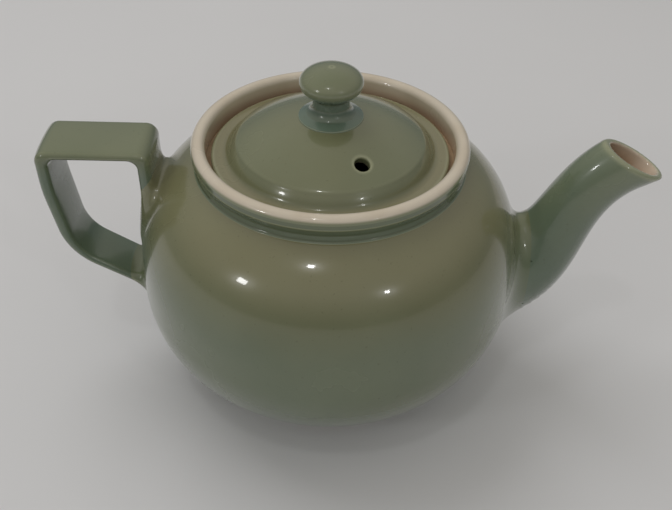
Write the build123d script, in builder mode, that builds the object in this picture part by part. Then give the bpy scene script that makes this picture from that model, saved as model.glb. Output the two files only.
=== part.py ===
from build123d import *
import os
from math import acos, asin, cos, degrees, hypot, radians, sin, sqrt

# Round glazed teapot with a lift-off lid, a swan-neck spout and a squared strap handle.
# Millimetres, +Z up. The origin is on the table, under the middle of the whole pot from grip to spout.
# The spout points along +X and the handle along -X. Every size in x or r below counts from the turning
# axis of the belly and lid, which stands at AXIS_X.
AXIS_X = -8.42
SIDE = Plane((AXIS_X, 0, 0), x_dir=(1, 0, 0), z_dir=(0, -1, 0))   # side view, drawn about the turning axis
TURN = Axis((AXIS_X, 0, 0), (0, 0, 1))

# ---- belly, foot, collar and rim -----------------------------------------------------------
BELLY_R = 72.0          # largest outer radius
BELLY_Z = 50.0          # height of that largest radius
LOWER_B = 54.5          # vertical half-axis of the lower half of the belly, an ellipse
SHOULDER_POWER = 3.0    # the upper half is a superellipse of this power, squarer than an ellipse
NECK_Z = 98.6           # the shoulder ends and the collar starts at this height
WALL = 4.6
BASE_Z = 5.0            # underside of the base, inside the foot ring

FOOT_OUT_R = 40.0
FOOT_IN_R = 34.0
FOOT_SPREAD = 2.0       # the ring widens upwards by this much
FOOT_ROUND = 1.2

COLLAR_FOOT_R = 48.4    # outer radius where the shoulder meets the collar
COLLAR_TOP_Z = 103.6    # the collar ends and the rolled rim starts at this height
COLLAR_HOLLOW = 0.4     # how far the collar's side is drawn in
RIM_R = 50.0
RIM_TOP_Z = 108.3
RIM_ROUND = 2.2
THROAT_R = 44.9         # inner radius of collar and rim

SEAT_TOP_Z = 99.65      # ledge in the throat that carries the lid
SEAT_IN_R = 39.2
SEAT_OUT_T = 4.6
SEAT_IN_T = 3.2
SEAT_ROUND = 0.8
OVERCUT = 1.0           # the hollow runs past the open neck by this much
CURVE_STEPS = 8         # spans of each formula-driven curve

# ---- lid -----------------------------------------------------------------------------------
LID_R = 43.1
LID_CLEARANCE = 0.15    # gap between the ledge and the lid's flange
LID_EDGE_T = 2.8
LID_ROUND = 0.9
COVE_R = 37.3           # the flange ring meets the side of the dome here
COVE_DROP = 0.4         # the flange ring dips this much towards the dome
COVE_ROUND = 1.2
DOME_R = 35.3           # the dome starts at this radius, on top of a low side wall
DOME_STEP = 4.3         # height of that side wall
DOME_SHOULDER = 1.6     # rounding between side wall and dome
DOME_RISE = 10.9
DOME_T = 3.6
DOME_IN_R = 33.4        # inner side of the wall under the dome
SKIRT_OUT_R = 38.2
SKIRT_T = 3.0
SKIRT_DEPTH = 9.0
VENT_D = 5.3
VENT_R = 25.7           # distance of the steam vent from the axis
VENT_ANGLE = -64.5

KNOB_R = 11.2           # widest radius of the button
KNOB_Z = 129.6          # height of that widest radius
KNOB_B = 5.8            # vertical half-axis of the button
KNOB_JOIN_R = 7.8       # the waist runs into the underside of the button here
WAIST_R = 6.5
WAIST_Z = 123.6
PEDESTAL_R = 11.8
PEDESTAL_TOP_R = 11.2
PEDESTAL_EDGE = 0.5     # upright edge around the foot of the knob
PEDESTAL_SLOPE = 0.25   # rise of the pedestal's top for each millimetre inwards
BUTTON_SLOPE = 0.9      # rise of the waist's flare for each millimetre outwards, under the button

# ---- spout: Bezier poles of the centre line and of its oval section --------------------------
SPOUT_X = (60.6, 92.8, 82.6, 109.2)
SPOUT_Z = (49.8, 49.0, 85.9, 100.9)
SPOUT_TALL = (26.4, 10.5, 10.5, 11.6)   # half height in the XZ plane
SPOUT_WIDE = (21.5, 9.5, 10.5, 9.2)     # half width along Y
SPOUT_ROOT_WALL = 4.2
SPOUT_TIP_WALL = 2.6
SPOUT_STATIONS = 7
SPOUT_OVERRUN = 14.0    # the tube is made this much too long and then cut at the mouth
MOUTH_X = 109.7
MOUTH_Z = 101.6
MOUTH_FALL = 28.0       # the mouth slopes down and outwards by this angle
LIP_ROUND = 0.8

STRAINER_D = 4.0
STRAINER_PITCH = 6.6
STRAINER_Z = 50.5
STRAINER_AROUND = 6     # holes around the middle one

# ---- handle ----------------------------------------------------------------------------------
STRAP_W = 24.0          # width of the strap at its top
ARM_W = 20.0            # the strap narrows to this width at the arm's root
ARM_ROOT_Z = 46.0
STRAP_T = 4.2
STRAP_ROUND = 1.8
HANDLE_TOP_Z = 105.8
GRIP_OUT_X = -105.2     # outer side of the upright grip
GRIP_T = 5.4
GRIP_BEND_Z = 88.0      # below this height the grip leans in
ELBOW_OUT = (-100.6, 58.4)
ELBOW_IN = (-95.6, 60.4)
ARM_SLOPE = 0.61        # fall of the lower arm for each millimetre towards the belly
RISER_OUT_X = -69.0
RISER_IN_X = -63.4
RISER_FOOT_Z = 94.5
RISER_END_X = -50.0     # closes the riser's root inside the belly
ARM_END_X = -58.0       # closes the arm's root inside the belly
RISER_FOOT_ROUND = 6.0
RISER_TOP_ROUND = 5.0
GRIP_TOP_ROUND = 5.0
GRIP_BEND_ROUND = 60.0
ELBOW_OUT_ROUND = 25.0
ELBOW_IN_ROUND = 17.0
FINGER_GAP_ROUND = 3.0


def bezier(poles, t):
    a, b, c, d = poles
    return (1 - t) ** 3 * a + 3 * (1 - t) ** 2 * t * b + 3 * (1 - t) * t ** 2 * c + t ** 3 * d


def bezier_slope(poles, t):
    a, b, c, d = poles
    return 3 * ((1 - t) ** 2 * (b - a) + 2 * (1 - t) * t * (c - b) + t ** 2 * (d - c))


def shoulder_r(rise, half_width, half_height):
    """Radius of the upper half of the belly at this height above the equator."""
    return half_width * (1 - (rise / half_height) ** SHOULDER_POWER) ** (1 / SHOULDER_POWER)


def shoulder_rise(radius, half_width, half_height):
    """Height above the equator at which the upper half of the belly has this radius."""
    return half_height * (1 - (radius / half_width) ** SHOULDER_POWER) ** (1 / SHOULDER_POWER)


def shoulder_curve(half_width, half_height, end_rise):
    """Upper half of the belly from the equator up to a height above it."""
    rises = [end_rise * sin(radians(90 * i / CURVE_STEPS)) for i in range(CURVE_STEPS + 1)]
    end_r = shoulder_r(end_rise, half_width, half_height)
    end_slope = -(end_rise / half_height) ** (SHOULDER_POWER - 1) / half_height * half_width
    end_slope /= (end_r / half_width) ** (SHOULDER_POWER - 1)
    points = [(shoulder_r(rise, half_width, half_height), BELLY_Z + rise) for rise in rises]
    return Spline(*points, tangents=((0, 1), (end_slope, 1)))


# ---- belly: a solid block that trims what joins it, the hollow, then the shell -----------------
upper_b = (NECK_Z - BELLY_Z) / shoulder_rise(COLLAR_FOOT_R, BELLY_R, 1.0)
hollow_r = BELLY_R - WALL
hollow_low_b = LOWER_B - WALL
hollow_up_b = upper_b - WALL
floor_z = BASE_Z + WALL

with BuildPart() as belly_block:
    with BuildSketch(SIDE):
        with BuildLine():
            low_angle = degrees(asin((BELLY_Z - BASE_Z) / LOWER_B))
            low = EllipticalCenterArc((0, BELLY_Z), BELLY_R, LOWER_B, start_angle=-low_angle,
                                      arc_size=low_angle)
            high = shoulder_curve(BELLY_R, upper_b, NECK_Z - BELLY_Z)
            Polyline(high @ 1, (0, NECK_Z), (0, BASE_Z), low @ 0)
        make_face()
    revolve(axis=TURN)

with BuildPart() as belly_hollow:
    with BuildSketch(SIDE):
        with BuildLine():
            low_angle = degrees(asin((BELLY_Z - floor_z) / hollow_low_b))
            low = EllipticalCenterArc((0, BELLY_Z), hollow_r, hollow_low_b, start_angle=-low_angle,
                                      arc_size=low_angle)
            high = shoulder_curve(hollow_r, hollow_up_b, shoulder_rise(THROAT_R, hollow_r, hollow_up_b))
            Polyline(high @ 1, (THROAT_R, NECK_Z + OVERCUT), (0, NECK_Z + OVERCUT), (0, floor_z), low @ 0)
        make_face()
    revolve(axis=TURN)

with BuildPart() as belly_shell:
    add(belly_block.part)
    add(belly_hollow.part, mode=Mode.SUBTRACT)
    with BuildSketch(Plane.YZ.offset(AXIS_X + hollow_r - 2 * WALL)):
        with Locations((0, STRAINER_Z)):
            Circle(STRAINER_D / 2)
            with PolarLocations(STRAINER_PITCH, STRAINER_AROUND):
                Circle(STRAINER_D / 2)
    extrude(amount=4 * WALL, mode=Mode.SUBTRACT)

# ---- foot ring -----------------------------------------------------------------------------
with BuildPart() as foot_ring:
    with BuildSketch(SIDE):
        with BuildLine():
            Polyline((FOOT_IN_R, 0), (FOOT_OUT_R, 0), (FOOT_OUT_R + FOOT_SPREAD, 2 * BASE_Z),
                     (FOOT_IN_R, 2 * BASE_Z), close=True)
        make_face()
    revolve(axis=TURN)
    fillet(foot_ring.edges().filter_by(GeomType.CIRCLE).group_by(Axis.Z)[0], FOOT_ROUND)
    add(belly_block.part, mode=Mode.SUBTRACT)

# ---- collar, rolled rim and lid seat ---------------------------------------------------------
with BuildPart() as neck_collar:
    with BuildSketch(SIDE):
        with BuildLine():
            side = ThreePointArc((COLLAR_FOOT_R, NECK_Z),
                                 ((COLLAR_FOOT_R + RIM_R) / 2 - COLLAR_HOLLOW, (NECK_Z + COLLAR_TOP_Z) / 2),
                                 (RIM_R, COLLAR_TOP_Z))
            Polyline(side @ 1, (THROAT_R, COLLAR_TOP_Z), (THROAT_R, NECK_Z), side @ 0)
        make_face()
    revolve(axis=TURN)

with BuildPart() as mouth_rim:
    with BuildSketch(SIDE):
        with BuildLine():
            Polyline((THROAT_R, COLLAR_TOP_Z), (RIM_R, COLLAR_TOP_Z), (RIM_R, RIM_TOP_Z),
                     (THROAT_R, RIM_TOP_Z), close=True)
        make_face()
    revolve(axis=TURN)
    fillet(mouth_rim.edges().filter_by(GeomType.CIRCLE).group_by(Axis.Z)[-1], RIM_ROUND)

with BuildPart() as lid_seat:
    with BuildSketch(SIDE):
        with BuildLine():
            Polyline((SEAT_IN_R, SEAT_TOP_Z), (THROAT_R, SEAT_TOP_Z), (THROAT_R, SEAT_TOP_Z - SEAT_OUT_T),
                     (SEAT_IN_R, SEAT_TOP_Z - SEAT_IN_T), close=True)
        make_face()
    revolve(axis=TURN)
    fillet(lid_seat.edges().filter_by(GeomType.CIRCLE).sort_by(SortBy.RADIUS)[0:2], SEAT_ROUND)

# ---- spout -----------------------------------------------------------------------------------


def spout_plane(t, overrun=0.0):
    """Plane across the centre line at t, its local X along the pot's Y."""
    tangent = Vector(bezier_slope(SPOUT_X, t), 0, bezier_slope(SPOUT_Z, t)).normalized()
    centre = Vector(AXIS_X + bezier(SPOUT_X, t), 0, bezier(SPOUT_Z, t)) + tangent * overrun
    return Plane(origin=centre, x_dir=(0, 1, 0), z_dir=tangent)


def spout_tube(root_inset, tip_inset):
    """Solid oval tube along the centre line, smaller all round by the inset at each end."""
    with BuildPart() as tube:
        for i in range(SPOUT_STATIONS):
            t = i / (SPOUT_STATIONS - 1)
            inset = root_inset + (tip_inset - root_inset) * t
            with BuildSketch(spout_plane(t)):
                Ellipse(bezier(SPOUT_WIDE, t) - inset, bezier(SPOUT_TALL, t) - inset)
        with BuildSketch(spout_plane(1.0, overrun=SPOUT_OVERRUN)):
            Ellipse(SPOUT_WIDE[-1] - tip_inset, SPOUT_TALL[-1] - tip_inset)
        loft()
    return tube.part


spout_outside = spout_tube(0, 0)
spout_channel = spout_tube(SPOUT_ROOT_WALL, SPOUT_TIP_WALL)
mouth_plane = Plane(origin=(AXIS_X + MOUTH_X, 0, MOUTH_Z), x_dir=(0, 1, 0),
                    z_dir=(sin(radians(MOUTH_FALL)), 0, cos(radians(MOUTH_FALL))))

with BuildPart() as spout:
    add(spout_outside)
    add(spout_channel, mode=Mode.SUBTRACT)
    split(bisect_by=mouth_plane, keep=Keep.BOTTOM)
    lip_edges = spout.edges().filter_by(lambda e: abs(mouth_plane.to_local_coords(e.center()).Z) < 0.01)
    fillet(lip_edges, LIP_ROUND)
    add(belly_block.part, mode=Mode.SUBTRACT)

# ---- handle ----------------------------------------------------------------------------------
strap_under_z = HANDLE_TOP_Z - STRAP_T
grip_in_x = GRIP_OUT_X + GRIP_T
riser_low_z = BELLY_Z + shoulder_rise(hypot(RISER_OUT_X, STRAP_W / 2), BELLY_R, upper_b)
arm_low_z = ELBOW_OUT[1] - ARM_SLOPE * (ARM_END_X - ELBOW_OUT[0])
arm_high_z = ELBOW_IN[1] - ARM_SLOPE * (ARM_END_X - ELBOW_IN[0])
taper = (STRAP_W - ARM_W) / (HANDLE_TOP_Z - ARM_ROOT_Z)   # width lost for each millimetre of height
foot_w = STRAP_W - taper * HANDLE_TOP_Z

with BuildPart() as handle:
    with BuildSketch(SIDE) as side_view:
        with BuildLine():
            Polyline((RISER_END_X, RISER_FOOT_Z), (RISER_IN_X, RISER_FOOT_Z), (RISER_IN_X, HANDLE_TOP_Z),
                     (GRIP_OUT_X, HANDLE_TOP_Z), (GRIP_OUT_X, GRIP_BEND_Z), ELBOW_OUT,
                     (ARM_END_X, arm_low_z), (ARM_END_X, arm_high_z), ELBOW_IN, (grip_in_x, GRIP_BEND_Z),
                     (grip_in_x, strap_under_z), (RISER_OUT_X, strap_under_z), (RISER_OUT_X, riser_low_z),
                     (RISER_END_X, riser_low_z), close=True)
        make_face()
        for spot, radius in (((RISER_IN_X, RISER_FOOT_Z), RISER_FOOT_ROUND),
                             ((RISER_IN_X, HANDLE_TOP_Z), RISER_TOP_ROUND),
                             ((GRIP_OUT_X, HANDLE_TOP_Z), GRIP_TOP_ROUND),
                             ((GRIP_OUT_X, GRIP_BEND_Z), GRIP_BEND_ROUND),
                             (ELBOW_OUT, ELBOW_OUT_ROUND),
                             (ELBOW_IN, ELBOW_IN_ROUND),
                             ((grip_in_x, GRIP_BEND_Z), GRIP_BEND_ROUND),
                             ((grip_in_x, strap_under_z), FINGER_GAP_ROUND),
                             ((RISER_OUT_X, strap_under_z), FINGER_GAP_ROUND)):
            fillet(side_view.vertices().sort_by_distance(spot)[0], radius)
    extrude(amount=STRAP_W / 2, both=True)
    with BuildSketch(Plane.YZ.offset(AXIS_X + GRIP_OUT_X - OVERCUT)):
        with BuildLine():
            Polyline((foot_w / 2, 0), (STRAP_W / 2, HANDLE_TOP_Z), (STRAP_W / 2, HANDLE_TOP_Z + OVERCUT),
                     (-STRAP_W / 2, HANDLE_TOP_Z + OVERCUT), (-STRAP_W / 2, HANDLE_TOP_Z), (-foot_w / 2, 0),
                     close=True)
        make_face()
    extrude(amount=-GRIP_OUT_X, mode=Mode.INTERSECT)
    flanks = handle.faces().filter_by(lambda face: abs(face.normal_at().Y) > 0.9)
    fillet(flanks.edges(), STRAP_ROUND)
    add(belly_block.part, mode=Mode.SUBTRACT)

# ---- lid ---------------------------------------------------------------------------------------
lid_under_z = SEAT_TOP_Z + LID_CLEARANCE
lid_edge_z = lid_under_z + LID_EDGE_T
cove_z = lid_edge_z - COVE_DROP
dome_z = cove_z + DOME_STEP
apex_z = dome_z + DOME_RISE
dome_radius = (DOME_R ** 2 + DOME_RISE ** 2) / (2 * DOME_RISE)
dome_centre_z = apex_z - dome_radius


def dome_surface_z(r, depth=0.0):
    """Height of the dome at this radius, or of the sphere that lies depth under it."""
    return dome_centre_z + sqrt((dome_radius - depth) ** 2 - r ** 2)


vent_tilt = asin(VENT_R / dome_radius)
vent_plane = Plane(
    origin=(AXIS_X + VENT_R * cos(radians(VENT_ANGLE)), VENT_R * sin(radians(VENT_ANGLE)),
            dome_surface_z(VENT_R)),
    z_dir=(sin(vent_tilt) * cos(radians(VENT_ANGLE)), sin(vent_tilt) * sin(radians(VENT_ANGLE)),
           cos(vent_tilt)))

with BuildPart() as lid_cover:
    with BuildSketch(SIDE) as section:
        with BuildLine():
            ThreePointArc((DOME_R, dome_z), (DOME_R / 2, dome_surface_z(DOME_R / 2)), (0, apex_z))
            Line((0, apex_z), (0, apex_z - DOME_T))
            ThreePointArc((0, apex_z - DOME_T), (DOME_IN_R / 2, dome_surface_z(DOME_IN_R / 2, DOME_T)),
                          (DOME_IN_R, dome_surface_z(DOME_IN_R, DOME_T)))
            Polyline((DOME_IN_R, dome_surface_z(DOME_IN_R, DOME_T)), (DOME_IN_R, lid_under_z),
                     (LID_R, lid_under_z), (LID_R, lid_edge_z), (COVE_R, cove_z), (DOME_R, dome_z))
        make_face()
        for spot, radius in (((COVE_R, cove_z), COVE_ROUND), ((DOME_R, dome_z), DOME_SHOULDER),
                             ((LID_R, lid_edge_z), LID_ROUND), ((LID_R, lid_under_z), LID_ROUND)):
            fillet(section.vertices().sort_by_distance(spot)[0], radius)
    revolve(axis=TURN)
    with BuildSketch(vent_plane):
        Circle(VENT_D / 2)
    extrude(amount=2 * DOME_T, both=True, mode=Mode.SUBTRACT)

with BuildPart() as lid_skirt:
    with BuildSketch(Plane((AXIS_X, 0, lid_under_z - SKIRT_DEPTH))):
        Circle(SKIRT_OUT_R)
        Circle(SKIRT_OUT_R - SKIRT_T, mode=Mode.SUBTRACT)
    extrude(amount=SKIRT_DEPTH)
    fillet(lid_skirt.edges().filter_by(GeomType.CIRCLE).group_by(Axis.Z)[0], SKIRT_T / 3)

pedestal_z = dome_surface_z(PEDESTAL_R)


def button_curve():
    """Half outline of the button, from its underside at the waist up to the axis: part of an ellipse."""
    low = -acos(KNOB_JOIN_R / KNOB_R)
    angles = [low + (radians(90) - low) * i / CURVE_STEPS for i in range(CURVE_STEPS)]
    points = [(KNOB_R * cos(angle), KNOB_Z + KNOB_B * sin(angle)) for angle in angles]
    return Spline(*points, (0, KNOB_Z + KNOB_B),
                  tangents=((-KNOB_R * sin(low), KNOB_B * cos(low)), (-1, 0)))


with BuildPart() as lid_knob:
    with BuildSketch(SIDE):
        with BuildLine():
            cap = button_curve()
            Line(cap @ 1, (0, apex_z))
            seat = ThreePointArc((0, apex_z), (PEDESTAL_R / 2, dome_surface_z(PEDESTAL_R / 2)),
                                 (PEDESTAL_R, pedestal_z))
            edge = Line(seat @ 1, (PEDESTAL_TOP_R, pedestal_z + PEDESTAL_EDGE))
            Spline(edge @ 1, (WAIST_R, WAIST_Z), cap @ 0, tangents=((-1, PEDESTAL_SLOPE), (1, BUTTON_SLOPE)))
        make_face()
    revolve(axis=TURN)

# ---- output ------------------------------------------------------------------------------------
os.makedirs("parts", exist_ok=True)
belly_shell.part.label = "belly_shell"
export_step(belly_shell.part, "parts/belly_shell.step")
foot_ring.part.label = "foot_ring"
export_step(foot_ring.part, "parts/foot_ring.step")
neck_collar.part.label = "neck_collar"
export_step(neck_collar.part, "parts/neck_collar.step")
mouth_rim.part.label = "mouth_rim"
export_step(mouth_rim.part, "parts/mouth_rim.step")
lid_seat.part.label = "lid_seat"
export_step(lid_seat.part, "parts/lid_seat.step")
spout.part.label = "spout"
export_step(spout.part, "parts/spout.step")
handle.part.label = "handle"
export_step(handle.part, "parts/handle.step")
lid_cover.part.label = "lid_cover"
export_step(lid_cover.part, "parts/lid_cover.step")
lid_skirt.part.label = "lid_skirt"
export_step(lid_skirt.part, "parts/lid_skirt.step")
lid_knob.part.label = "lid_knob"
export_step(lid_knob.part, "parts/lid_knob.step")
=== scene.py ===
from math import asin, cos, pi, radians, sin, sqrt

import bpy
import numpy as np
from mathutils import Matrix, Vector


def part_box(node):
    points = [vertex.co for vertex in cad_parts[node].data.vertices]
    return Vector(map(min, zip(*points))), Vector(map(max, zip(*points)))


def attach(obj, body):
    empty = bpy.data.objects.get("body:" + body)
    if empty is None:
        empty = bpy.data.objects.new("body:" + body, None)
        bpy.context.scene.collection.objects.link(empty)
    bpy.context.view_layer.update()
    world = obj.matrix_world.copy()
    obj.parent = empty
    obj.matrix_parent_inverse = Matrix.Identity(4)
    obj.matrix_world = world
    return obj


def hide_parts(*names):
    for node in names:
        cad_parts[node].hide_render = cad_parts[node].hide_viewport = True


# A glazed teapot. Metres, +Z up, the origin on the table under the middle of the pot, spout along +X,
# handle along -X. Pieces are built about the turning axis of belly and lid, then moved out to it.
# The skin of the pot is a signed distance, negative inside, so that the roots of spout and handle run into
# the belly in fillets. Belly, spout and handle are contoured from it, each closed where it meets its
# neighbour. The lid has a distance of its own. Rim and knob are turned from outlines.

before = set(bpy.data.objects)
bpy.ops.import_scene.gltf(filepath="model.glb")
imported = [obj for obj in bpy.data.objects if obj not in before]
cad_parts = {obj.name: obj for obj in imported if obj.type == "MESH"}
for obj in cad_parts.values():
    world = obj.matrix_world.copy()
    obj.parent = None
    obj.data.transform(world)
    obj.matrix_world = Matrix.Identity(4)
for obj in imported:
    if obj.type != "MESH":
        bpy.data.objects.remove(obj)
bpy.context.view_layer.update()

MM = 0.001

# ---- sizes, from the frame where it has them ---------------------------------------------------------
foot_low, foot_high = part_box("foot_ring")
AXIS = Vector(((foot_low.x + foot_high.x) / 2, 0, 0))


def turned_box(node):
    """Corners of a CAD node's box, counted from the turning axis."""
    low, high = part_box(node)
    return low - AXIS, high - AXIS


belly_low, belly_high = turned_box("belly_shell")
BELLY_R = belly_high.y
BASE_Z = belly_low.z
NECK_Z = belly_high.z
EQUATOR_Z = 50.0 * MM
LOWER_HALF = 54.5 * MM          # vertical half-axis of the lower half of the belly
SHOULDER_POWER = 3.0            # the upper half is a superellipse of this power
WALL = 4.6 * MM
THROAT_R = turned_box("lid_seat")[1].x
COLLAR_FOOT_R = 48.4 * MM
COLLAR_WAIST_R = COLLAR_FOOT_R + 0.3 * MM
COLLAR_TUCK = 0.9 * MM          # how far the collar's foot reaches into the shoulder
RIM_R = turned_box("mouth_rim")[1].x
RIM_TOP_Z = turned_box("mouth_rim")[1].z
RIM_LOW_Z = NECK_Z + 5.4 * MM
THROAT_CUT_Z = 85.0 * MM        # the throat's hole starts here, inside the belly's hollow

SPOUT_X = (60.6 * MM, 92.8 * MM, 82.6 * MM, 109.2 * MM)      # Bezier poles of the centre line
SPOUT_Z = (49.8 * MM, 49.0 * MM, 85.9 * MM, 100.9 * MM)
SPOUT_TALL = (26.4 * MM, 10.5 * MM, 10.5 * MM, 11.6 * MM)
SPOUT_WIDE = (21.5 * MM, 9.5 * MM, 10.5 * MM, 9.2 * MM)
SPOUT_WALLS = (4.2 * MM, 2.6 * MM)
SPOUT_FILLET = 9.0 * MM
MOUTH = (109.7 * MM, 101.6 * MM)
MOUTH_FALL = radians(28.0)
STRAINER_R = 2.0 * MM
STRAINER_PITCH = 6.6 * MM
STRAINER_Z = 50.5 * MM

STRAP_HALF_W = 12.0 * MM        # at the strap's top
ARM_HALF_W = 10.0 * MM          # at the arm's root
ARM_ROOT_Z = 46.0 * MM
STRAP_ROUND = 1.8 * MM
STRAP_CROWN = 1.0 * MM          # height of the ellipse that each face of the strap is crowned by
CROWN_END = 0.97                # share of the half width where the crown stops falling
STRAP_TOP_Z = turned_box("handle")[1].z
STRAP_UNDER_Z = STRAP_TOP_Z - 4.2 * MM
GRIP_OUT_X = turned_box("handle")[0].x
GRIP_IN_X = GRIP_OUT_X + 5.4 * MM
GRIP_BEND_Z = 88.0 * MM
ELBOW_OUT = (-100.6 * MM, 58.4 * MM)
ELBOW_IN = (-95.6 * MM, 60.4 * MM)
ARM_SLOPE = 0.61
ARM_END_X = -58.0 * MM
RISER_X = (-69.0 * MM, -63.4 * MM)
RISER_END_Z = 70.0 * MM
HANDLE_FILLET = 7.0 * MM

SEAM_OFFSET = 6.0 * MM          # spout and handle are pieces of their own from this far outside the belly
HANDLE_SIDE_X = -45.0 * MM      # the handle is only looked for beyond this
SPOUT_SIDE_X = 55.0 * MM        # and the spout beyond this

UPPER_HALF = (NECK_Z - EQUATOR_Z) / (1 - (COLLAR_FOOT_R / BELLY_R) ** SHOULDER_POWER) ** (1 / SHOULDER_POWER)


# ---- signed distances --------------------------------------------------------------------------------
def smooth_min(a, b, reach):
    """The smaller of two distances, blended where they differ by less than the reach."""
    h = np.maximum(reach - np.abs(a - b), 0.0) / reach
    return np.minimum(a, b) - h * h * reach / 4


def smooth_max(a, b, reach):
    return -smooth_min(-a, -b, reach)


def bezier(poles, t):
    a, b, c, d = poles
    return (1 - t) ** 3 * a + 3 * (1 - t) ** 2 * t * b + 3 * (1 - t) * t ** 2 * c + t ** 3 * d


def bezier_slope(poles, t):
    a, b, c, d = poles
    return 3 * ((1 - t) ** 2 * (b - a) + 2 * (1 - t) * t * (c - b) + t ** 2 * (d - c))


def bulb_distance(r, z, inset):
    """The turned bulb of the belly, made smaller all round by the inset."""
    rise = z - EQUATOR_Z
    power = np.where(rise > 0, SHOULDER_POWER, 2.0)
    half = np.where(rise > 0, UPPER_HALF, LOWER_HALF) - inset
    a = np.maximum(r / (BELLY_R - inset), 1e-6)
    b = np.maximum(np.abs(rise) / half, 1e-6)
    size = (a ** power + b ** power) ** (1 / power)
    slope = np.hypot((a / size) ** (power - 1) / (BELLY_R - inset), (b / size) ** (power - 1) / half)
    return (size - 1) / slope


def spout_distances(p):
    """Distances from the outside of the spout's tube and from its channel."""
    x, y, z = p.T
    stations = np.linspace(0, 1, 33)
    gap = (x[:, None] - bezier(SPOUT_X, stations)) ** 2 + (z[:, None] - bezier(SPOUT_Z, stations)) ** 2
    t = stations[gap.argmin(1)]
    for _ in range(4):
        tx, tz = bezier_slope(SPOUT_X, t), bezier_slope(SPOUT_Z, t)
        along = (x - bezier(SPOUT_X, t)) * tx + (z - bezier(SPOUT_Z, t)) * tz
        t = np.clip(t + along / (tx ** 2 + tz ** 2), 0, 1)
    tx, tz = bezier_slope(SPOUT_X, t), bezier_slope(SPOUT_Z, t)
    across = ((z - bezier(SPOUT_Z, t)) * tx - (x - bezier(SPOUT_X, t)) * tz) / np.hypot(tx, tz)
    wall = SPOUT_WALLS[0] + (SPOUT_WALLS[1] - SPOUT_WALLS[0]) * t
    found = []
    for inset in (0.0, wall):
        tall, wide = bezier(SPOUT_TALL, t) - inset, bezier(SPOUT_WIDE, t) - inset
        size = np.maximum(np.hypot(across / tall, y / wide), 1e-3)
        slope = np.maximum(np.hypot(across / tall ** 2, y / wide ** 2), 1e-3)
        found.append((size - 1) * size / slope)
    return found


def mouth_distance(p):
    """Height over the sloping plane of the spout's mouth."""
    return (p[:, 0] - MOUTH[0]) * sin(MOUTH_FALL) + (p[:, 2] - MOUTH[1]) * cos(MOUTH_FALL)


def rounded(corners, step=radians(4)):
    """Outline through corners (x, z, radius), with the outward normal of each point. The outline runs
    clockwise as seen with z up, and a corner of radius 0 is one point of a smooth curve."""
    points, normals = [], []
    spots = [np.array(c[:2]) for c in corners]
    for i, (spot, corner) in enumerate(zip(spots, corners)):
        back = spots[i - 1] - spot
        ahead = spots[(i + 1) % len(spots)] - spot
        back, ahead = back / np.linalg.norm(back), ahead / np.linalg.norm(ahead)
        n_back, n_ahead = np.array([back[1], -back[0]]), np.array([-ahead[1], ahead[0]])
        bisector = (n_back + n_ahead) / np.linalg.norm(n_back + n_ahead)
        turn = np.arctan2(n_back[0] * n_ahead[1] - n_back[1] * n_ahead[0], n_back @ n_ahead)
        if corner[2] == 0 or abs(turn) < 1e-4:
            points.append(spot)
            normals.append(bisector)
            continue
        side = -np.sign(turn)
        centre = spot - side * bisector * corner[2] / cos(turn / 2)
        steps = max(2, int(abs(turn) / step) + 1)
        for k in range(steps + 1):
            a = turn * k / steps
            n = np.array([n_back[0] * cos(a) - n_back[1] * sin(a), n_back[0] * sin(a) + n_back[1] * cos(a)])
            points.append(centre + side * n * corner[2])
            normals.append(n)
    return np.array(points), np.array(normals)


def polygon_distance(x, z, outline):
    """Signed distance from a closed outline, negative inside."""
    nearest = np.full(x.shape, np.inf)
    sign = np.ones(x.shape)
    for (ax, az), (bx, bz) in zip(outline, np.roll(outline, -1, axis=0)):
        ex, ez, wx, wz = bx - ax, bz - az, x - ax, z - az
        h = np.clip((wx * ex + wz * ez) / max(ex * ex + ez * ez, 1e-18), 0, 1)
        nearest = np.minimum(nearest, (wx - ex * h) ** 2 + (wz - ez * h) ** 2)
        above, under, left = z >= az, z < bz, ex * wz > ez * wx
        sign[(above & under & left) | ~(above | under | left)] *= -1
    return sign * np.sqrt(nearest)


def handle_outline():
    """Side view of the handle: squared strap, leaning grip, and the arm that falls towards the belly."""
    arm_low_z = ELBOW_OUT[1] - ARM_SLOPE * (ARM_END_X - ELBOW_OUT[0])
    arm_high_z = ELBOW_IN[1] - ARM_SLOPE * (ARM_END_X - ELBOW_IN[0])
    corners = [(RISER_X[1], RISER_END_Z, 1 * MM), (RISER_X[0], RISER_END_Z, 1 * MM),
               (RISER_X[0], STRAP_UNDER_Z, 3 * MM), (GRIP_IN_X, STRAP_UNDER_Z, 3 * MM),
               (GRIP_IN_X, GRIP_BEND_Z, 60 * MM), (*ELBOW_IN, 17 * MM), (ARM_END_X, arm_high_z, 1 * MM),
               (ARM_END_X, arm_low_z, 1 * MM), (*ELBOW_OUT, 25 * MM), (GRIP_OUT_X, GRIP_BEND_Z, 60 * MM),
               (GRIP_OUT_X, STRAP_TOP_Z, 5 * MM), (RISER_X[1], STRAP_TOP_Z, 5 * MM)]
    return rounded(corners, radians(3))[0]


HANDLE_OUTLINE = handle_outline()


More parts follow.
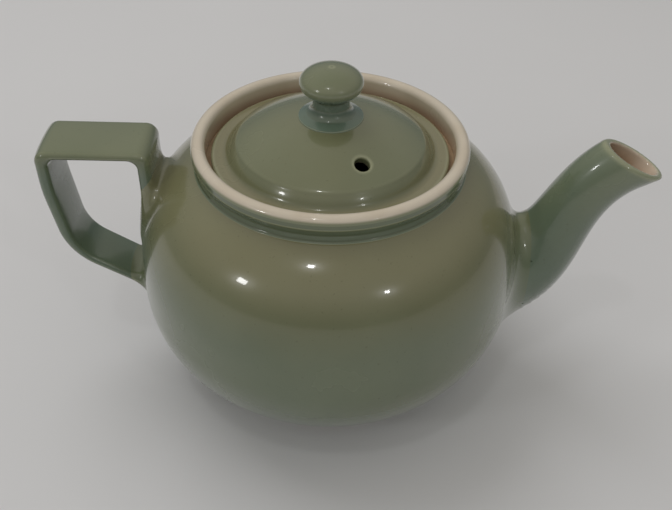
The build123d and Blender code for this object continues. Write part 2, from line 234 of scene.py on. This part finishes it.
def handle_distance(p):
    """The side view given a width that tapers downwards, rounded edges and slightly crowned faces."""
    taper = (STRAP_HALF_W - ARM_HALF_W) / (STRAP_TOP_Z - ARM_ROOT_Z)
    half_w = STRAP_HALF_W - taper * (STRAP_TOP_Z - p[:, 2])
    across = np.clip(np.abs(p[:, 1]) / half_w, 0, CROWN_END)
    crown = STRAP_CROWN * (1 - np.sqrt(1 - across ** 2))
    flat = polygon_distance(p[:, 0], p[:, 2], HANDLE_OUTLINE) + STRAP_ROUND + crown
    side = np.abs(p[:, 1]) - half_w + STRAP_ROUND
    beyond = np.hypot(np.maximum(flat, 0), np.maximum(side, 0))
    return np.minimum(np.maximum(flat, side), 0) + beyond - STRAP_ROUND


def strainer_distance(p):
    """The holes through the wall behind the spout: one, and six around it."""
    spots = [(0.0, STRAINER_Z)]
    for k in range(6):
        a = radians(60 * k)
        spots.append((STRAINER_PITCH * cos(a), STRAINER_Z + STRAINER_PITCH * sin(a)))
    return np.min([np.hypot(p[:, 1] - y, p[:, 2] - z) for y, z in spots], axis=0) - STRAINER_R


def pot_distance(p):
    """Belly, handle and spout as one skin, hollow, with the throat, the spout's channel and the strainer."""
    r, z = np.hypot(p[:, 0], p[:, 1]), p[:, 2]
    bulb = bulb_distance(r, z, 0.0)
    skin = smooth_max(bulb, BASE_Z - z, 1.5 * MM)
    near_handle = p[:, 0] < HANDLE_SIDE_X
    if near_handle.any():
        skin[near_handle] = smooth_min(skin[near_handle], handle_distance(p[near_handle]), HANDLE_FILLET)
    near_spout = p[:, 0] > SPOUT_SIDE_X
    hollow = smooth_max(bulb_distance(r, z, WALL), BASE_Z + WALL - z, 4 * MM)
    hollow = smooth_min(hollow, np.maximum(r - THROAT_R, THROAT_CUT_Z - z), 1.5 * MM)
    if near_spout.any():
        q = p[near_spout]
        tube, channel = spout_distances(q)
        tube = smooth_max(tube, mouth_distance(q), 1.4 * MM)
        joined = smooth_min(skin[near_spout], tube, SPOUT_FILLET)
        wall_side = bulb[near_spout]
        joined = smooth_max(joined, -smooth_max(channel, -wall_side, 1.0 * MM), 1.2 * MM)
        holes = np.maximum(strainer_distance(q), wall_side - 0.5 * MM)
        skin[near_spout] = smooth_max(joined, -holes, 0.8 * MM)
    return smooth_max(skin, -hollow, 1.0 * MM)


def belly_seam(p):
    """Negative where the belly's own piece is: near the bulb and below the neck."""
    out = bulb_distance(np.hypot(p[:, 0], p[:, 1]), p[:, 2], 0.0) - SEAM_OFFSET
    return np.maximum(out, p[:, 2] - NECK_Z)


def limb_seam(p):
    """Negative where spout and handle are pieces of their own."""
    return SEAM_OFFSET - bulb_distance(np.hypot(p[:, 0], p[:, 1]), p[:, 2], 0.0)


# ---- lid ---------------------------------------------------------------------------------------------
lid_low, lid_high = turned_box("lid_cover")
LID_R = lid_high.x
LID_UNDER_Z = lid_low.z
LID_EDGE_Z = LID_UNDER_Z + 2.8 * MM
COVE_Z = LID_EDGE_Z - 0.4 * MM
COVE_R = 37.3 * MM
DOME_R = 35.3 * MM
DOME_T = 3.6 * MM
DOME_IN_R = 33.4 * MM
DOME_RISE = 10.9 * MM
APEX_Z = lid_high.z
DOME_BALL_R = (DOME_R ** 2 + DOME_RISE ** 2) / (2 * DOME_RISE)
DOME_BALL_Z = APEX_Z - DOME_BALL_R
knob_high = turned_box("lid_knob")[1]
KNOB_R = 11.2 * MM
KNOB_HALF = 5.8 * MM
KNOB_Z = knob_high.z - KNOB_HALF
BUTTON_FROM = -46               # degrees round the button's ellipse where it leaves the waist
BUTTON_STEPS = 32
WAIST_R = 6.5 * MM
PEDESTAL_R = knob_high.x
PEDESTAL_Z = DOME_BALL_Z + sqrt(DOME_BALL_R ** 2 - PEDESTAL_R ** 2)
VENT_TILT = asin(25.7 * MM / DOME_BALL_R)
VENT_ANGLE = radians(-64.5)
VENT_HOLE_R = 2.65 * MM


def lid_distance(p):
    """Dome on a flange, hollow underneath, with the steam vent through it."""
    r, z = np.hypot(p[:, 0], p[:, 1]), p[:, 2]
    ball = np.hypot(r, z - DOME_BALL_Z) - DOME_BALL_R
    lean = (z - (APEX_Z - DOME_RISE)) * (COVE_R - DOME_R) / (DOME_RISE * 0.4)   # side wall leans in upwards
    dome = smooth_max(ball, r - DOME_R + np.clip(lean, -(COVE_R - DOME_R), 0), 2.2 * MM)
    flange_top = COVE_Z + (LID_EDGE_Z - COVE_Z) * np.clip((r - COVE_R) / (LID_R - COVE_R), 0, 1)
    flange = smooth_max(r - LID_R, z - flange_top, 1.3 * MM)
    solid = smooth_max(smooth_min(dome, flange, 1.8 * MM), LID_UNDER_Z - z, 0.9 * MM)
    under = smooth_max(ball + DOME_T, r - DOME_IN_R, 2.0 * MM)
    solid = smooth_max(solid, -under, 0.9 * MM)
    axis = np.array([sin(VENT_TILT) * cos(VENT_ANGLE), sin(VENT_TILT) * sin(VENT_ANGLE), cos(VENT_TILT)])
    from_centre = p - np.array([0, 0, DOME_BALL_Z])
    vent = np.linalg.norm(np.cross(from_centre, axis), axis=1) - VENT_HOLE_R
    return smooth_max(solid, -vent, 0.9 * MM)


# ---- from a distance to a mesh -----------------------------------------------------------------------
SETTLE_STEP = 0.03 * MM         # for slopes while points move onto the skin
NORMAL_STEP = 0.25 * MM         # for the normals of the finished skin
LEAST_SLOPE = 0.05              # squared slopes smaller than this are taken as this
EDGE_SPAN = 1.5 * MM            # the radius that counts as a bend of 1


def gradient(field, p, step):
    g = np.empty_like(p)
    for axis in range(3):
        shift = np.zeros(3)
        shift[axis] = step
        g[:, axis] = field(p + shift) - field(p - shift)
    return g / (2 * step)


def settle(field, seam, p, on_field, on_seam, reach):
    """Moves points onto the field's zero, the seam's zero, or the line where both are zero."""
    start = p.copy()
    for _ in range(4):
        f, s = field(p), seam(p)
        gf, gs = gradient(field, p, SETTLE_STEP), gradient(seam, p, SETTLE_STEP)
        ff, ss, fs = (gf * gf).sum(1), (gs * gs).sum(1), (gf * gs).sum(1)
        alone_f, alone_s = f / np.maximum(ff, LEAST_SLOPE), s / np.maximum(ss, LEAST_SLOPE)
        det = np.maximum(ff * ss - fs * fs, LEAST_SLOPE)
        both = on_field & on_seam
        a = np.where(both, (ss * f - fs * s) / det, np.where(on_field, alone_f, 0))
        b = np.where(both, (ff * s - fs * f) / det, np.where(on_field, 0, alone_s))
        p = p - a[:, None] * gf - b[:, None] * gs
        p = start + np.clip(p - start, -reach, reach)
    return p


def contour(field, seam, low, high, cell):
    """Closed quad mesh of where field and seam are both negative. Every cell that the surface crosses holds
    one point, and a crossed grid edge gives one quad. Also says which quads lie on the field."""
    axes = [np.arange(low[i] - 1.5 * cell, high[i] + 2.5 * cell, cell) for i in range(3)]
    shape = tuple(len(a) for a in axes)
    grid = np.stack(np.meshgrid(*axes, indexing="ij"), -1).reshape(-1, 3)
    f, s = field(grid).reshape(shape), seam(grid).reshape(shape)
    c = np.maximum(f, s)
    inside = c < 0
    cells = tuple(n - 1 for n in shape)
    size = int(np.prod(cells))
    total, count = np.zeros((size, 3)), np.zeros(size)
    on_field, on_seam = np.zeros(size, bool), np.zeros(size, bool)
    quads, of_field = [], []
    for axis in range(3):
        u, v = (axis + 1) % 3, (axis + 2) % 3
        near, far = [slice(None)] * 3, [slice(None)] * 3
        near[axis], far[axis] = slice(None, -1), slice(1, None)
        near, far = tuple(near), tuple(far)
        spot = np.argwhere(inside[near] != inside[far])
        ends = spot.copy()
        ends[:, axis] += 1
        c0, c1 = c[tuple(spot.T)], c[tuple(ends.T)]
        t = c0 / (c0 - c1)
        f_t = f[tuple(spot.T)] * (1 - t) + f[tuple(ends.T)] * t
        s_t = s[tuple(spot.T)] * (1 - t) + s[tuple(ends.T)] * t
        is_field = f_t >= s_t
        at = np.stack([axes[i][spot[:, i]] for i in range(3)], 1)
        at[:, axis] += t * cell
        ring = []
        for du, dv in ((-1, -1), (0, -1), (0, 0), (-1, 0)):
            q = spot.copy()
            q[:, u] += du
            q[:, v] += dv
            flat = np.ravel_multi_index(tuple(q.T), cells, mode="clip")
            ring.append(flat)
            for k in range(3):
                total[:, k] += np.bincount(flat, at[:, k], size)
            count += np.bincount(flat, minlength=size)
            on_field[flat[is_field]] = True
            on_seam[flat[~is_field]] = True
        ring = np.stack(ring, 1)
        outwards = inside[tuple(spot.T)]
        quads.append(np.where(outwards[:, None], ring, ring[:, ::-1]))
        of_field.append(is_field)
    quads, of_field = np.concatenate(quads), np.concatenate(of_field)
    used = np.flatnonzero(count)
    number = np.zeros(size, int)
    number[used] = np.arange(len(used))
    points = total[used] / count[used][:, None]
    points = settle(field, seam, points, on_field[used], on_seam[used], 1.2 * cell)
    return points, number[quads], of_field


def finish_mesh(name, points, faces, corner_normals, attributes):
    """Object from a mesh built about the turning axis, moved out to where that axis stands."""
    mesh = bpy.data.meshes.new(name)
    mesh.from_pydata(points.tolist(), [], faces)
    mesh.polygons.foreach_set("use_smooth", [True] * len(mesh.polygons))
    for key, values in attributes.items():
        mesh.attributes.new(key, "FLOAT", "POINT").data.foreach_set("value", values.astype(np.float32))
    mesh.normals_split_custom_set(corner_normals.tolist())
    piece = bpy.data.objects.new(name, mesh)
    piece.matrix_world = Matrix.Translation(AXIS)
    bpy.context.scene.collection.objects.link(piece)
    return piece


def bend_of(field, p, span):
    """How strongly the skin curves: above 0 on edges, below 0 in creases. 1 is a radius of one span."""
    around = -6 * field(p)
    for axis in range(3):
        shift = np.zeros(3)
        shift[axis] = span
        around += field(p + shift) + field(p - shift)
    return np.clip(around / span, -2, 2)


def contoured_piece(name, field, seam, box, cell, cream_of, warm_of, span=EDGE_SPAN):
    """Piece contoured from a field. Its normals come from the field and, on the closed end, the seam."""
    points, faces, of_field = contour(field, seam, box[0], box[1], cell)
    normal = gradient(field, points, NORMAL_STEP)
    normal /= np.maximum(np.linalg.norm(normal, axis=1), 1e-9)[:, None]
    cap = gradient(seam, points, NORMAL_STEP)
    cap /= np.maximum(np.linalg.norm(cap, axis=1), 1e-9)[:, None]
    corners = np.where(np.repeat(of_field, 4)[:, None], normal[faces.ravel()], cap[faces.ravel()])
    attributes = {"cream": cream_of(points), "warm": warm_of(points), "bend": bend_of(field, points, span)}
    return finish_mesh(name, points, faces.tolist(), corners, attributes)


def outline_bend(outline, normals, span):
    """How strongly a turned outline curves, on the same scale as bend_of."""
    last, following = np.roll(normals, 1, axis=0), np.roll(normals, -1, axis=0)
    turn = np.arctan2(last[:, 0] * following[:, 1] - last[:, 1] * following[:, 0], (last * following).sum(1))
    length = np.linalg.norm(np.roll(outline, -1, axis=0) - np.roll(outline, 1, axis=0), axis=1)
    return np.clip(-turn / np.maximum(length, 1e-6) * span, -2, 2)


def turned_piece(name, corners, cream_of, warm_of, steps=192):
    """Solid turned about Z from a closed outline. Points on the axis become one point."""
    outline, normals = rounded(corners)
    profile_bend = outline_bend(outline, normals, EDGE_SPAN)
    angles = np.arange(steps) * 2 * pi / steps
    points, point_normals, bends, rows = [], [], [], []
    for (r, z), (nr, nz), curve in zip(outline, normals, profile_bend):
        on_axis = r < 1e-7
        turns = angles[:1] if on_axis else angles
        rows.append([len(points) + (0 if on_axis else k) for k in range(steps)])
        points += [(r * cos(a), r * sin(a), z) for a in turns]
        bends += [0.0 if on_axis else curve] * len(turns)
        point_normals += [(0, 0, np.sign(nz)) if on_axis else (nr * cos(a), nr * sin(a), nz) for a in turns]
    faces = []
    for low, high in zip(rows, rows[1:] + rows[:1]):
        if low[0] == low[1] and high[0] == high[1]:
            continue
        for k in range(steps):
            n = (k + 1) % steps
            face = [low[k], low[n], high[n], high[k]]
            faces.append([v for i, v in enumerate(face) if v != face[i - 1]])
    faces = [face[::-1] for face in faces]
    points, point_normals = np.array(points), np.array(point_normals)
    corner_normals = point_normals[[v for face in faces for v in face]]
    attributes = {"cream": cream_of(points), "warm": warm_of(points), "bend": np.array(bends)}
    return finish_mesh(name, points, faces, corner_normals, attributes)


def fade(value, start, end):
    """0 up to the start, 1 from the end, smooth between."""
    t = np.clip((value - start) / (end - start), 0, 1)
    return t * t * (3 - 2 * t)


# ---- the pieces --------------------------------------------------------------------------------------
def belly_cream(p):
    """The inside is cream, from half way through the wall."""
    return (bulb_distance(np.hypot(p[:, 0], p[:, 1]), p[:, 2], 0.0) < -0.5 * WALL).astype(float)


def belly_warm(p):
    """The colour goes from cooler low down to warmer on the shoulder, where warm overhead light is painted.
    """
    return fade(p[:, 2], 62 * MM, 92 * MM) * 0.8 - 0.3 * fade(-p[:, 2], -45 * MM, -20 * MM)


def spout_cream(p):
    """Only the inner edge of the lip and the channel behind it are cream."""
    channel = spout_distances(p)[1]
    return fade(-channel, -0.9 * MM, -0.1 * MM)


def spout_warm(p):
    """Bluish on the outside, and painted shade in the channel, browner with depth."""
    return np.where(spout_cream(p) > 0.5, 0.45 + 0.55 * fade(-mouth_distance(p), 0.0, 8 * MM), -0.45)


def handle_warm(p):
    """Painted warm overhead light on the strap's top, like the lid; bluish down the grip."""
    return 0.25 - 0.8 * fade(-p[:, 2], 1.5 * MM - STRAP_TOP_Z, 12 * MM - STRAP_TOP_Z)


def plain(value):
    """The same value at every point."""
    return lambda p: np.full(len(p), value)


def lid_cream(p):
    """The underside is cream."""
    ball = np.linalg.norm(p - np.array([0, 0, DOME_BALL_Z]), axis=1) - DOME_BALL_R
    r = np.hypot(p[:, 0], p[:, 1])
    under = (p[:, 2] < LID_UNDER_Z + 0.4 * MM) | ((ball < -0.8 * DOME_T) & (r < DOME_IN_R + 0.2 * MM))
    return under.astype(float)


def lid_warm(p):
    """Painted warm overhead light: olive brown on the flange, a little warm on the dome."""
    return 0.35 + 0.65 * fade(np.hypot(p[:, 0], p[:, 1]), COVE_R - 0.8 * MM, COVE_R + 1.2 * MM)


def rim_warm(p):
    """Painted shade down the inside of the throat, orange brown and darker with depth; a cooler collar
    outside.
    """
    r = np.hypot(p[:, 0], p[:, 1])
    down = fade(-p[:, 2], 1.5 * MM - RIM_TOP_Z, 6.5 * MM - RIM_TOP_Z)
    return np.where(r < (THROAT_R + RIM_R) / 2, down, -0.3 * down)


def knob_warm(p):
    """Bluish under the button's widest line, and a little painted warm overhead light above it."""
    return -0.9 + 1.1 * fade(p[:, 2], KNOB_Z - 3 * MM, KNOB_Z + 2 * MM)


def rim_cream(p):
    """Cream over the rounded top and all the inside, green from below the rim's outer side."""
    r = np.hypot(p[:, 0], p[:, 1])
    inner = r < (THROAT_R + RIM_R) / 2
    return np.where(inner, 1.0, fade(p[:, 2], RIM_TOP_Z - 1.9 * MM, RIM_TOP_Z - 0.9 * MM))


belly_room = Vector((SEAM_OFFSET, SEAM_OFFSET, 1 * MM))
belly_box = (belly_low - belly_room, belly_high + belly_room)
belly = contoured_piece("belly", pot_distance, belly_seam, belly_box, 1.3 * MM, belly_cream, belly_warm)
spout = contoured_piece("spout_tube", pot_distance, limb_seam, turned_box("spout"), 0.7 * MM, spout_cream,
                        spout_warm)
handle = contoured_piece("strap_handle", pot_distance, limb_seam, turned_box("handle"), 0.7 * MM, plain(0.0),
                         handle_warm, 0.4 * MM)
lid = contoured_piece("lid_dome", lid_distance, plain(-1.0), (lid_low, lid_high), 0.6 * MM, lid_cream,
                      lid_warm, 1.0 * MM)


def rim_corners():
    """Rolled rim, collar drawn in below it, and a foot let into the shoulder."""
    return [(THROAT_R, NECK_Z, 0.3 * MM), (THROAT_R, RIM_TOP_Z, 2.3 * MM), (RIM_R, RIM_TOP_Z, 2.5 * MM),
            (RIM_R, RIM_LOW_Z, 1.8 * MM), (COLLAR_WAIST_R, NECK_Z + 2.6 * MM, 3.0 * MM),
            (COLLAR_WAIST_R, NECK_Z + 0.2 * MM, 0.9 * MM),
            (COLLAR_FOOT_R + 1.6 * MM, NECK_Z - COLLAR_TUCK, 0.3 * MM),
            (COLLAR_FOOT_R - 1.0 * MM, NECK_Z - COLLAR_TUCK, 0.3 * MM)]


def knob_corners():
    """Pedestal with a low upright edge, hollow waist, and a button whose side is half an ellipse."""
    button = []
    for k in range(BUTTON_STEPS + 1):
        a = radians(BUTTON_FROM + (90 - BUTTON_FROM) * k / BUTTON_STEPS)
        button.append((KNOB_R * cos(a), KNOB_Z + KNOB_HALF * sin(a), 0))
    button[-1] = (0, knob_high.z, 0)
    under_z = PEDESTAL_Z - 0.4 * MM
    stem = [(PEDESTAL_R - 0.1 * MM, under_z, 0.15 * MM),
            (PEDESTAL_R - 0.3 * MM, PEDESTAL_Z + 0.4 * MM, 0.2 * MM),
            (WAIST_R, PEDESTAL_Z + 2.8 * MM, 4.0 * MM), (WAIST_R, KNOB_Z - 5.4 * MM, 0.8 * MM)]
    outline = stem + button + [(0, under_z, 0)]
    return outline[::-1]


rim = turned_piece("rim_and_collar", rim_corners(), rim_cream, rim_warm)
knob = turned_piece("button_knob", knob_corners(), plain(0.0), knob_warm)

# ---- which CAD node each piece stands for ------------------------------------------------------------
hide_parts("belly_shell")
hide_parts("spout")
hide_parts("handle")
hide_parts("mouth_rim", "neck_collar")
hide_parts("lid_cover")
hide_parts("lid_knob")
for piece, body, slot in ((belly, "pot", "glaze_green"), (spout, "pot", "glaze_green"),
                          (handle, "pot", "glaze_green"), (rim, "pot", "glaze_cream"),
                          (lid, "lid", "glaze_green"), (knob, "lid", "glaze_green")):
    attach(piece, body)


# ---- materials ---------------------------------------------------------------------------------------
class Nodes:
    """Short way to build a node tree."""

    def __init__(self, material):
        material.use_nodes = True
        self.tree = material.node_tree
        self.shader = self.tree.nodes["Principled BSDF"]

    def add(self, kind, settings=None, **inputs):
        node = self.tree.nodes.new(kind)
        for key, value in (settings or {}).items():
            setattr(node, key, value)
        for key, value in inputs.items():
            self.put(value, node.inputs[key.replace("_", " ")])
        return node

    def put(self, value, socket):
        if isinstance(value, bpy.types.NodeSocket):
            self.tree.links.new(value, socket)
        else:
            socket.default_value = value

    def noise(self, scale, detail=2.0, offset=0.0):
        place = self.add("ShaderNodeTexCoord").outputs["Object"]
        moved = self.add("ShaderNodeVectorMath", {"operation": "ADD"})
        self.put(place, moved.inputs[0])
        moved.inputs[1].default_value = (offset, 0.7 * offset, -0.4 * offset)
        found = self.add("ShaderNodeTexNoise", Vector=moved.outputs[0], Scale=scale, Detail=detail)
        return found.outputs["Fac"]

    def ramp(self, value, low, high, out_low=0.0, out_high=1.0):
        node = self.add("ShaderNodeMapRange", Value=value)
        node.inputs["From Min"].default_value, node.inputs["From Max"].default_value = low, high
        node.inputs["To Min"].default_value, node.inputs["To Max"].default_value = out_low, out_high
        return node.outputs["Result"]

    def mix(self, share, a, b):
        node = self.add("ShaderNodeMix", {"data_type": "RGBA"})
        self.put(share, node.inputs[0])
        self.put(a, node.inputs[6])
        self.put(b, node.inputs[7])
        return node.outputs[2]

    def bump(self, height, strength, distance, under=None):
        node = self.add("ShaderNodeBump", Height=height, Strength=strength, Distance=distance)
        if under is not None:
            self.put(under, node.inputs["Normal"])
        return node.outputs["Normal"]


GREEN = (0.120, 0.152, 0.086, 1)
GREEN_PALE_AND_EDGE_HIGHLIGHT = (0.300, 0.310, 0.190, 1)       # painted highlight on edges, and pale patches at random
GREEN_SPECK_AND_CREASE_SHADE = (0.072, 0.082, 0.036, 1)     # painted shade in creases, and dark specks
GREEN_BROWN = (0.150, 0.158, 0.080, 1)
GREEN_WARM = (0.205, 0.180, 0.090, 1)       # towards olive brown, for painted warm overhead light
GREEN_COOL = (0.080, 0.142, 0.118, 1)       # towards blue
CREAM = (0.600, 0.530, 0.430, 1)
CREAM_TAN = (0.430, 0.330, 0.210, 1)
CREAM_BROWN = (0.330, 0.185, 0.090, 1)
CLAY = (0.50, 0.40, 0.28, 1)
CLAY_DARK = (0.30, 0.21, 0.13, 1)
SEAT = (0.46, 0.33, 0.20, 1)
SEAT_DARK = (0.24, 0.13, 0.06, 1)
GLAZE_ROUGHNESS = (0.20, 0.28)
GLAZE_IOR = 1.5
COAT_WEIGHT = 0.8
COAT_ROUGHNESS = 0.03
RIPPLE_DEPTH = 0.25 * MM
GRAIN_DEPTH = 0.04 * MM


def glaze_material(name):
    """Glossy glaze: green, or cream where the mesh says so, paler on edges as a painted highlight, darker in
    creases as painted shade.
    """
    material = bpy.data.materials.new(name)
    n = Nodes(material)
    cream = n.add("ShaderNodeAttribute", {"attribute_name": "cream"}).outputs["Fac"]
    bend = n.add("ShaderNodeAttribute", {"attribute_name": "bend"}).outputs["Fac"]
    warm = n.add("ShaderNodeAttribute", {"attribute_name": "warm"}).outputs["Fac"]
    cloud = n.ramp(n.noise(28, 4), 0.35, 0.65)
    green = n.mix(n.ramp(n.noise(14, 3, 3.1), 0.4, 0.7, 0, 0.55), GREEN, GREEN_BROWN)
    # warm above 0 paints warm overhead light; below 0 turns the colour bluish.
    green = n.mix(n.ramp(warm, 0, 1, 0, 0.8), green, GREEN_WARM)
    green = n.mix(n.ramp(warm, 0, -1, 0, 0.8), green, GREEN_COOL)
    green = n.mix(n.ramp(cloud, 0, 1, 0, 0.10), green, GREEN_PALE_AND_EDGE_HIGHLIGHT)
    specks = n.ramp(n.noise(900, 1, 7.3), 0.70, 0.78, 0, 0.35)
    green = n.mix(specks, green, GREEN_SPECK_AND_CREASE_SHADE)
    # Painted highlight: paler on convex edges.
    green = n.mix(n.ramp(bend, 0.12, 0.9, 0, 0.75), green, GREEN_PALE_AND_EDGE_HIGHLIGHT)
    # Painted shade: darker in creases.
    green = n.mix(n.ramp(bend, -0.08, -0.8, 0, 0.6), green, GREEN_SPECK_AND_CREASE_SHADE)
    pale = n.mix(n.ramp(n.noise(55, 4, 1.7), 0.45, 0.8, 0, 0.35), CREAM, CREAM_TAN)
    # Painted shade: the cream turns brown deeper in the throat and the spout's channel.
    pale = n.mix(n.ramp(warm, 0, 1, 0, 0.9), pale, CREAM_BROWN)
    n.put(n.mix(cream, green, pale), n.shader.inputs["Base Color"])
    n.put(n.ramp(cloud, 0, 1, *GLAZE_ROUGHNESS), n.shader.inputs["Roughness"])
    n.shader.inputs["IOR"].default_value = GLAZE_IOR
    n.shader.inputs["Coat Weight"].default_value = COAT_WEIGHT
    n.shader.inputs["Coat Roughness"].default_value = COAT_ROUGHNESS
    ripple = n.bump(n.noise(60, 1, 5.0), 0.35, RIPPLE_DEPTH)
    n.put(n.bump(n.noise(650, 2, 9.0), 0.10, GRAIN_DEPTH, ripple), n.shader.inputs["Normal"])
    return material


def clay_material(name, colour, dark, roughness, grain):
    """Bare fired clay, or thin cream glaze, with fine grain."""
    material = bpy.data.materials.new(name)
    n = Nodes(material)
    tone = n.mix(n.ramp(n.noise(120, 5), 0.35, 0.7, 0, 0.6), colour, dark)
    n.put(n.mix(n.ramp(n.noise(1800, 2, 2.0), 0.62, 0.7, 0, 0.5), tone, dark), n.shader.inputs["Base Color"])
    rough = n.ramp(n.noise(300, 3, 4.0), 0.3, 0.7, roughness - 0.08, roughness + 0.08)
    n.put(rough, n.shader.inputs["Roughness"])
    n.put(n.bump(n.noise(1400, 4, 6.0), 0.5, grain), n.shader.inputs["Normal"])
    return material


glaze = glaze_material("glaze")
for piece in (belly, spout, handle, rim, lid, knob):
    piece.data.materials.append(glaze)

bare = clay_material("bare_clay", CLAY, CLAY_DARK, 0.75, 0.12 * MM)
seat = clay_material("seat_glaze", SEAT, SEAT_DARK, 0.40, 0.05 * MM)
for node, material in (("foot_ring", bare), ("lid_seat", seat), ("lid_skirt", seat)):
    cad_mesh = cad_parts[node].data
    cad_mesh.materials.clear()
    cad_mesh.materials.append(material)


# ---- camera ------------------------------------------------------------------------------------------
VIEW_TILT = radians(39.86)
VIEW_ROLL = radians(1.29)
VIEW_DISTANCE = 0.3573
VIEW_TARGET = AXIS + Vector((0.00285, 0, 0.05257))
SENSOR_WIDTH = 36.0
LENS = 48.21
right = Vector((1, 0, 0))
up = Vector((0, sin(VIEW_TILT), cos(VIEW_TILT)))
back = Vector((0, -cos(VIEW_TILT), sin(VIEW_TILT)))
camera_x = right * cos(VIEW_ROLL) + up * sin(VIEW_ROLL)
camera_y = up * cos(VIEW_ROLL) - right * sin(VIEW_ROLL)
turn = Matrix((camera_x, camera_y, back)).transposed().to_4x4()
camera = bpy.data.objects.new("camera", bpy.data.cameras.new("camera"))
camera.matrix_world = Matrix.Translation(VIEW_TARGET + back * VIEW_DISTANCE) @ turn
camera.data.sensor_width = SENSOR_WIDTH
camera.data.lens = LENS
bpy.context.scene.collection.objects.link(camera)
bpy.context.scene.camera = camera

# ---- floor -------------------------------------------------------------------------------------------
FLOOR_HALF = 3.0
FLOOR_COLOUR = (0.68, 0.68, 0.70, 1)
FLOOR_SHADE = 0.94              # how dark its faint clouds get
FLOOR_ROUGHNESS = 0.45


def floor():
    """Plain pale floor under the pot."""
    mesh = bpy.data.meshes.new("floor")
    corners = [(x * FLOOR_HALF, y * FLOOR_HALF, 0) for x, y in ((-1, -1), (1, -1), (1, 1), (-1, 1))]
    mesh.from_pydata(corners, [], [(0, 1, 2, 3)])
    piece = bpy.data.objects.new("floor", mesh)
    bpy.context.scene.collection.objects.link(piece)
    material = bpy.data.materials.new("floor")
    n = Nodes(material)
    darker = tuple(c * FLOOR_SHADE for c in FLOOR_COLOUR[:3]) + (1,)
    n.put(n.mix(n.noise(6, 3), FLOOR_COLOUR, darker), n.shader.inputs["Base Color"])
    n.shader.inputs["Roughness"].default_value = FLOOR_ROUGHNESS
    mesh.materials.append(material)


floor()

# ---- light -------------------------------------------------------------------------------------------
SURROUND_LOW = (0.30, 0.34, 0.36, 1)
SURROUND_HIGH = (1.0, 0.96, 0.88, 1)
SURROUND_STRENGTH = 0.50
AIM = AXIS + Vector((0, 0, 0.06))


def surround():
    """Plain studio surround, grey at the level of the table and bright overhead."""
    world = bpy.data.worlds.new("surround")
    world.use_nodes = True
    tree = world.node_tree
    toward = tree.nodes.new("ShaderNodeTexCoord")
    parts = tree.nodes.new("ShaderNodeSeparateXYZ")
    shade = tree.nodes.new("ShaderNodeValToRGB")
    tree.links.new(toward.outputs["Generated"], parts.inputs[0])
    tree.links.new(parts.outputs["Z"], shade.inputs[0])
    tree.links.new(shade.outputs[0], tree.nodes["Background"].inputs["Color"])
    low, high = shade.color_ramp.elements
    low.position, low.color = 0.1, SURROUND_LOW
    high.position, high.color = 0.6, SURROUND_HIGH
    tree.nodes["Background"].inputs["Strength"].default_value = SURROUND_STRENGTH
    bpy.context.scene.world = world


def lamp(name, place, size, power, mirrored):
    """Soft box aimed at the pot. One that isn't mirrored lights the scene but doesn't show in the glaze."""
    data = bpy.data.lights.new(name, "AREA")
    data.shape = "RECTANGLE"
    data.size, data.size_y = size
    data.energy = power
    obj = bpy.data.objects.new(name, data)
    place = AXIS + Vector(place)
    obj.matrix_world = Matrix.Translation(place) @ (AIM - place).to_track_quat("-Z", "Y").to_matrix().to_4x4()
    obj.visible_glossy = mirrored
    bpy.context.scene.collection.objects.link(obj)


surround()
lamp("overhead_box", (-0.6, 0.6, 1.5), (1.2, 1.0), 8.0, False)
lamp("front_fill", (0.0, -1.3, 1.2), (1.4, 1.0), 2.0, False)
lamp("left_lamp", (-1.2, -0.9, 0.9), (0.16, 0.16), 1.6, True)
lamp("right_lamp", (0.9, -1.2, 1.0), (0.08, 0.08), 0.8, True)
lamp("top_lamp", (-0.2, -0.6, 1.5), (0.08, 0.08), 0.8, True)
bpy.context.scene.view_settings.view_transform = "Standard"
